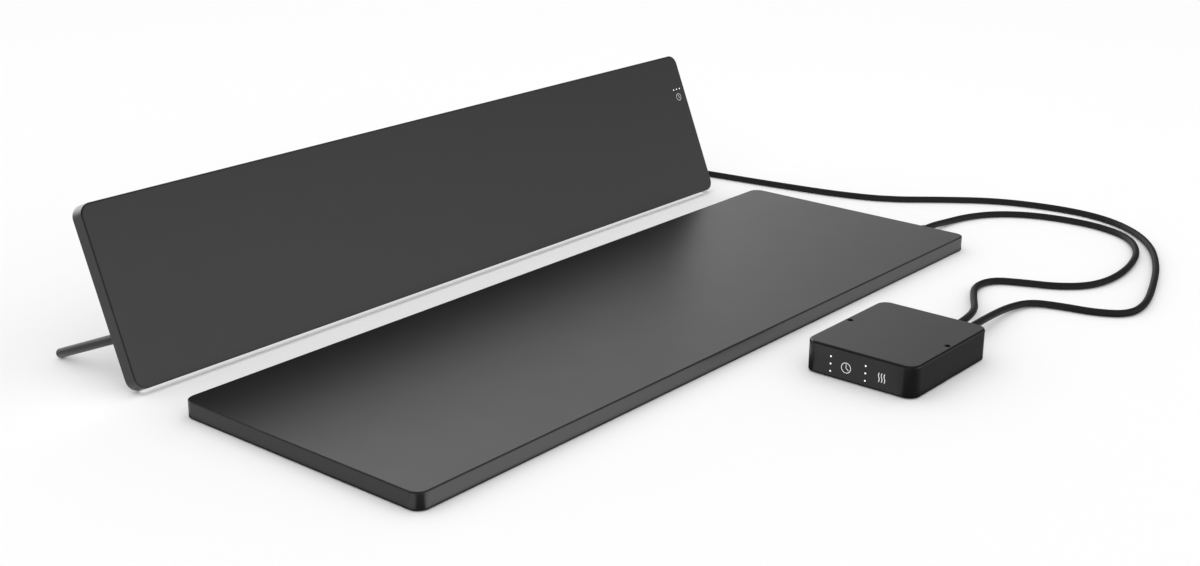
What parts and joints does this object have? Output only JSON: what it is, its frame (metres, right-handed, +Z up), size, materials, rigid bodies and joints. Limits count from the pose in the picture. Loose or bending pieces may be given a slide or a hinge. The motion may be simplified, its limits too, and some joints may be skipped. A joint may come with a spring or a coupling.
{
  "type": "infrared desk heater",
  "caption": "Desk infrared heater set: a long upright warming panel on screw-in rod feet, a flat heating pad and a low control box with touch marks, joined by two leads.",
  "frame": {"origin": "desk point below the middle of the set's extents, leads and the pad's gland left out", "axes": "+X along the panel and the pad towards the leads, +Y from the control box to the panel's feet, +Z up"},
  "size_m": [0.9331, 0.632, 0.1434],
  "materials": {
    "shell_paint": "fine-textured anthracite powder coat, satin",
    "back_paint": "matt black paint",
    "foil": "etched heating foil",
    "wool": "pressed insulation board",
    "post_plastic": "heat-resistant moulding",
    "screw_steel": "zinc-plated steel",
    "terminal_plastic": "moulded plastic",
    "cutout_steel": "plated steel cap",
    "gland_rubber": "moulded black rubber",
    "board_green": "green circuit board",
    "pipe_clear": "clear light pipe",
    "socket_brass": "turned brass",
    "washer_rubber": "black rubber",
    "rod_paint": "anthracite coat on steel",
    "foot_rubber": "black rubber",
    "box_plastic": "fine-textured anthracite moulding",
    "relay_plastic": "moulded case",
    "core_ferrite": "taped core",
    "can_aluminium": "sleeved can",
    "fuse_glass": "clear glass",
    "clip_brass": "spring brass",
    "inlet_plastic": "black moulding",
    "pin_brass": "plated brass",
    "lead_sheath": "smooth black sheath"
  },
  "bodies": {
    "desk_set": {"panel_front_shell": "shell_paint", "panel_back_plate": "back_paint", "panel_heating_foil": "foil", "panel_insulation": "wool", "panel_posts": "post_plastic", "panel_screws": "screw_steel", "panel_terminal_block": "terminal_plastic", "panel_thermal_cutout": "cutout_steel", "panel_cable_gland": "gland_rubber", "panel_touch_board": "board_green", "panel_light_pipes": "pipe_clear", "foot_sockets": "socket_brass", "pad_front_shell": "shell_paint", "pad_back_plate": "back_paint", "pad_heating_foil": "foil", "pad_insulation": "wool", "pad_posts": "post_plastic", "pad_screws": "screw_steel", "pad_terminal_block": "terminal_plastic", "pad_thermal_cutout": "cutout_steel", "pad_cable_gland": "gland_rubber", "pad_feet": "foot_rubber", "box_housing": "box_plastic", "box_base": "box_plastic", "box_base_screws": "screw_steel", "box_feet": "foot_rubber", "box_touch_board": "board_green", "box_light_pipes": "pipe_clear", "box_power_board": "board_green", "box_board_screws": "screw_steel", "box_relays": "relay_plastic", "box_transformer": "core_ferrite", "box_capacitor": "can_aluminium", "box_fuse": "fuse_glass", "box_fuse_clips": "clip_brass", "box_terminal_blocks": "terminal_plastic", "box_cable_glands": "gland_rubber", "box_inlet": "inlet_plastic", "box_inlet_pins": "pin_brass", "panel_cable": "lead_sheath", "pad_cable": "lead_sheath"},
    "foot_thread_left": {"foot_washer_left": "washer_rubber"},
    "foot_left": {"foot_rod_left": "rod_paint"},
    "foot_thread_right": {"foot_washer_right": "washer_rubber"},
    "foot_right": {"foot_rod_right": "rod_paint"}
  },
  "joints": [
    {"name": "foot_advance_left", "type": "slide", "parent": "desk_set", "child": "foot_thread_left", "axis": [0, 0.9245, -0.3811], "range_m": [0, 0.006]},
    {"name": "foot_turn_left", "type": "hinge", "parent": "foot_thread_left", "child": "foot_left", "pos_m": [-0.365, 0.19858, 0.0403], "axis": [0, 0.9245, -0.3811], "range_deg": [0, 2160]},
    {"name": "foot_advance_right", "type": "slide", "parent": "desk_set", "child": "foot_thread_right", "axis": [0, 0.9245, -0.3811], "range_m": [0, 0.006]},
    {"name": "foot_turn_right", "type": "hinge", "parent": "foot_thread_right", "child": "foot_right", "pos_m": [0.365, 0.19858, 0.0403], "axis": [0, 0.9245, -0.3811], "range_deg": [0, 2160]}
  ],
  "couplings": [
    {"joint": "foot_turn_left", "follows": "foot_advance_left", "rad_per_m": 6283.2},
    {"joint": "foot_turn_right", "follows": "foot_advance_right", "rad_per_m": 6283.2}
  ]
}
